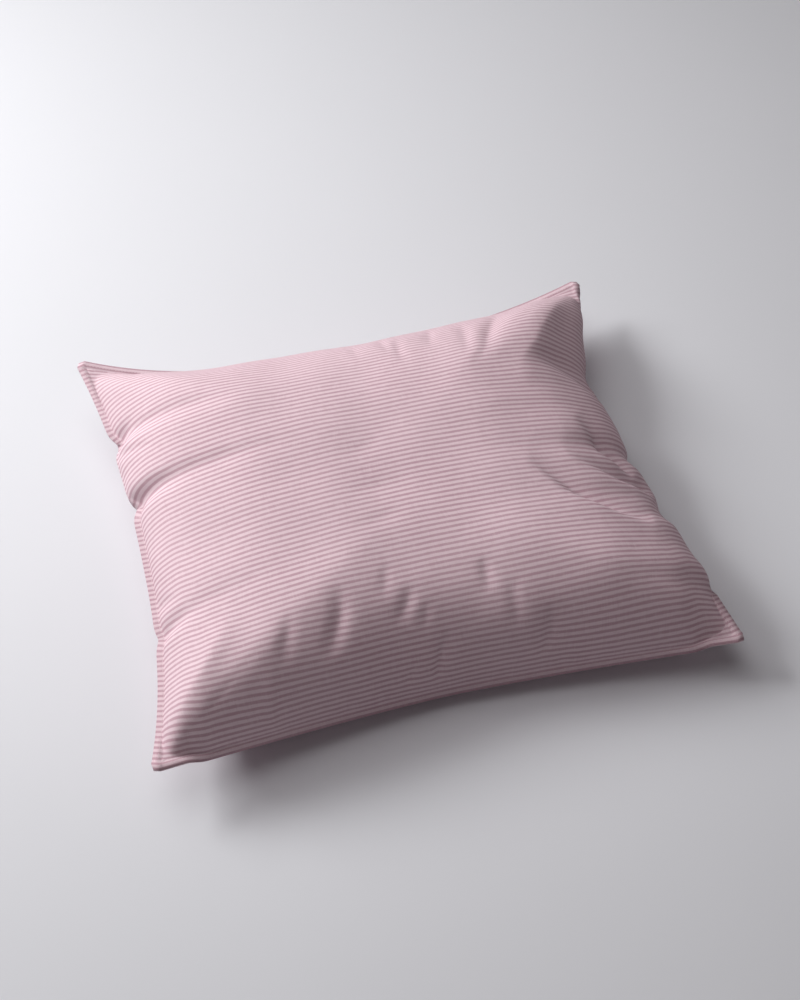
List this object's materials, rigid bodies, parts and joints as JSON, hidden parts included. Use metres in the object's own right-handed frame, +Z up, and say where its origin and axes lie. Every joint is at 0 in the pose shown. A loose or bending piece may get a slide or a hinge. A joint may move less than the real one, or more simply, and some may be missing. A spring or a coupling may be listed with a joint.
{
  "type": "filled pillowcase",
  "caption": "Soft filled pillowcase lying flat, crowned on both faces, with drawn-in sides, pointed corners and a stitched border.",
  "frame": {"origin": "on the surface the pillowcase lies on, under the middle of its box", "axes": "+X along the long side, which is the way the stripes run, +Y towards the rear side, +Z up through the thickness"},
  "size_m": [0.5718, 0.4826, 0.1372],
  "materials": {
    "striped_cotton": "matt cotton percale in narrow rose and pale pink stripes along the long side"
  },
  "bodies": {
    "root": {"pillowcase": "striped_cotton"}
  },
  "joints": []
}
